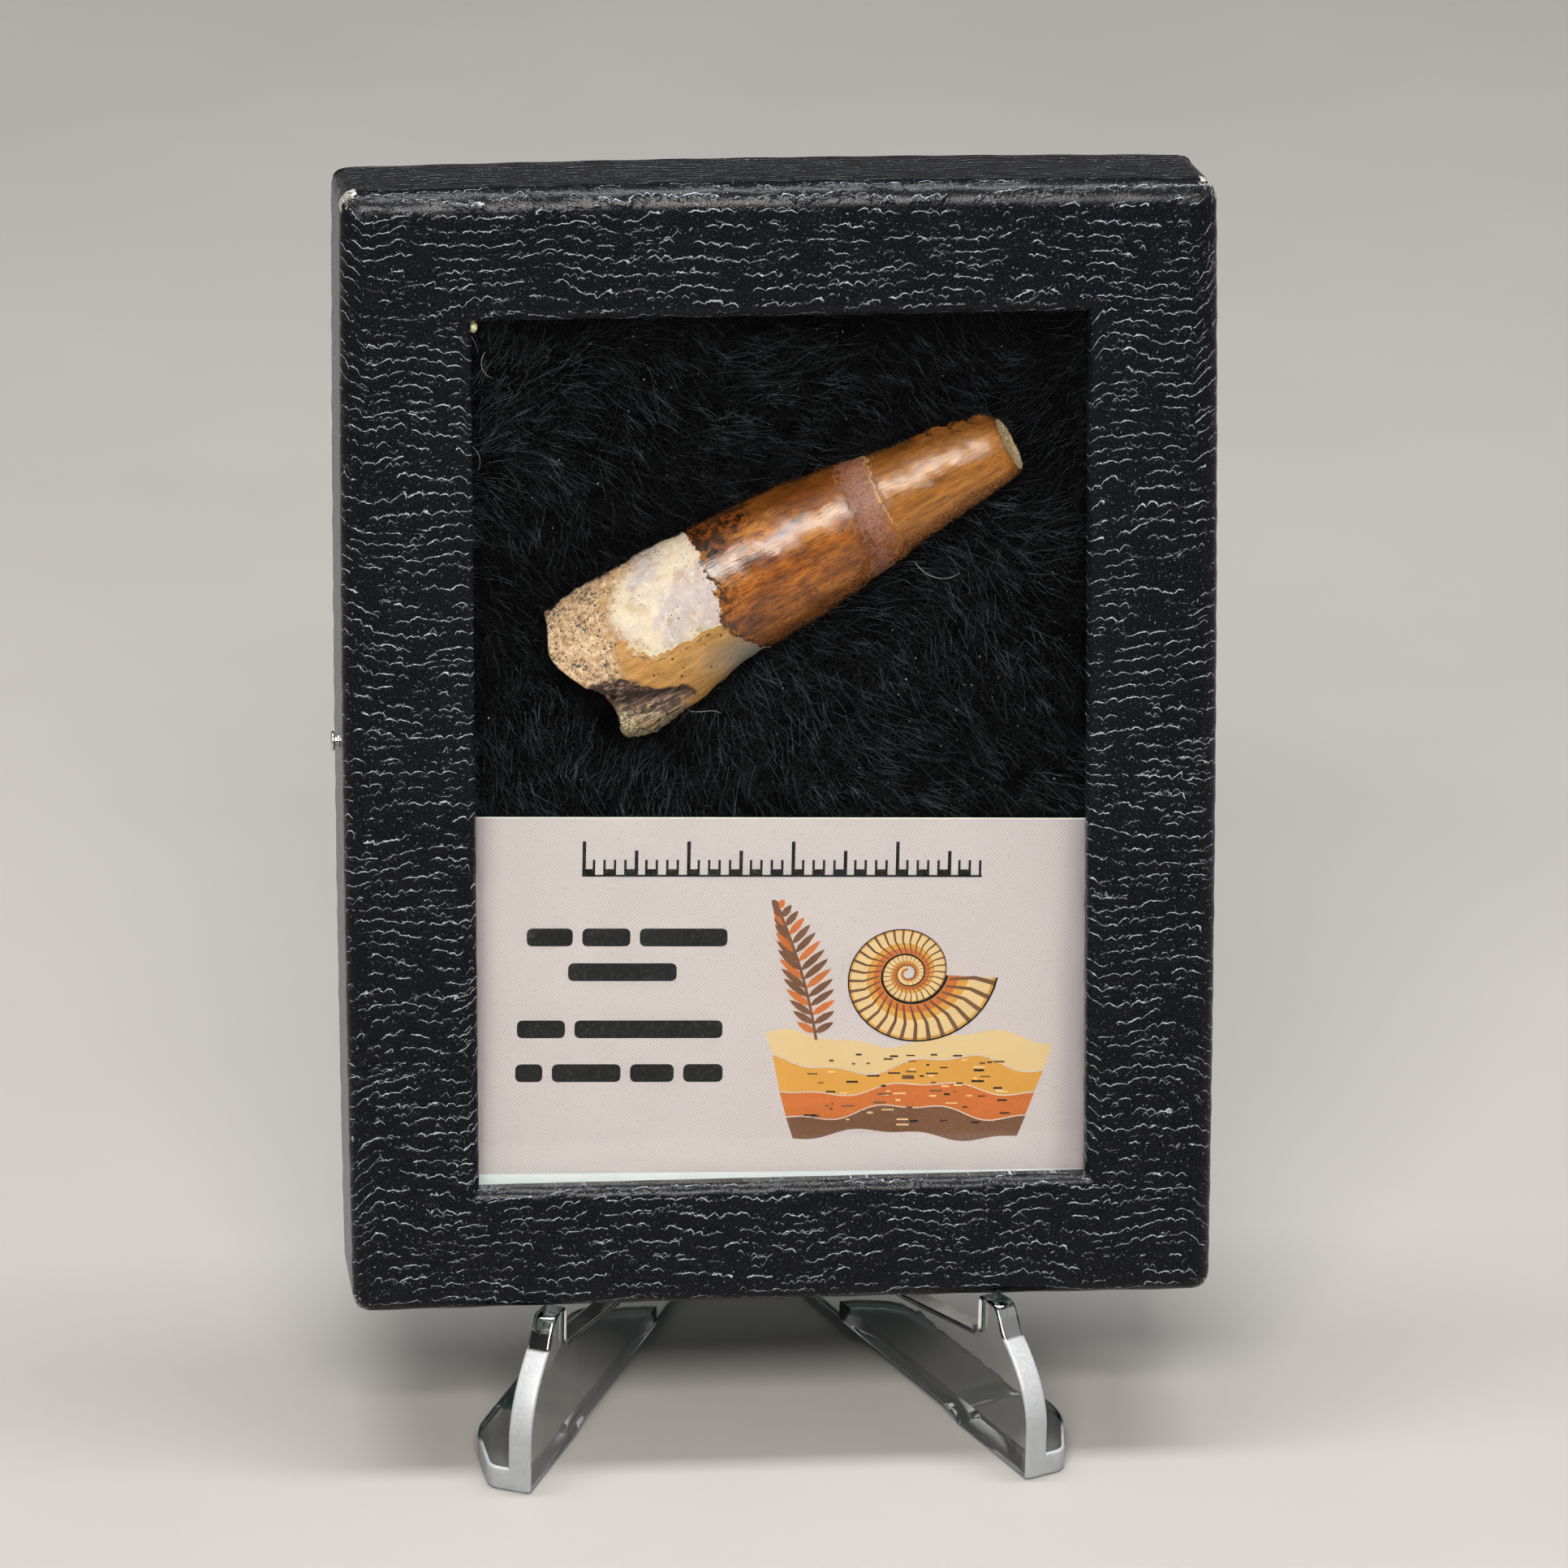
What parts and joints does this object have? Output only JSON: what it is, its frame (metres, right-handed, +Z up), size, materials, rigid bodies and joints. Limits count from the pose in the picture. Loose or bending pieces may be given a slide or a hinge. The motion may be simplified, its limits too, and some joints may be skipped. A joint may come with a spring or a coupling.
{
  "type": "fossil dinosaur tooth in a display box on an easel",
  "caption": "Fossil dinosaur tooth on black batting behind glass in a black leather-grain display box with a label card, leaning on a clear folding easel.",
  "frame": {"origin": "on the ground, midway between the box's two sides and midway between the front of the easel's toes and the back of its hinge", "axes": "+Z up, along the height; the window faces -Y and the easel's hinge is at +Y; +X is to the right as seen from the window side"},
  "size_m": [0.0848, 0.056, 0.1219],
  "materials": {
    "fossil_enamel_and_root": "satin",
    "black_fibre": "matte",
    "printed_card": "satin",
    "window_glass": "polished",
    "leather_grain_paper": "satin",
    "plain_black_paper": "matte",
    "pin_steel": "polished",
    "clear_styrene": "gloss"
  },
  "bodies": {
    "root": {"tooth": "fossil_enamel_and_root", "batting": "black_fibre", "label_card": "printed_card", "glass_pane": "window_glass", "lid": "leather_grain_paper", "tray": "plain_black_paper", "pin_left": "pin_steel", "pin_right": "pin_steel", "easel_left": "clear_styrene", "easel_right": "clear_styrene"}
  },
  "joints": []
}
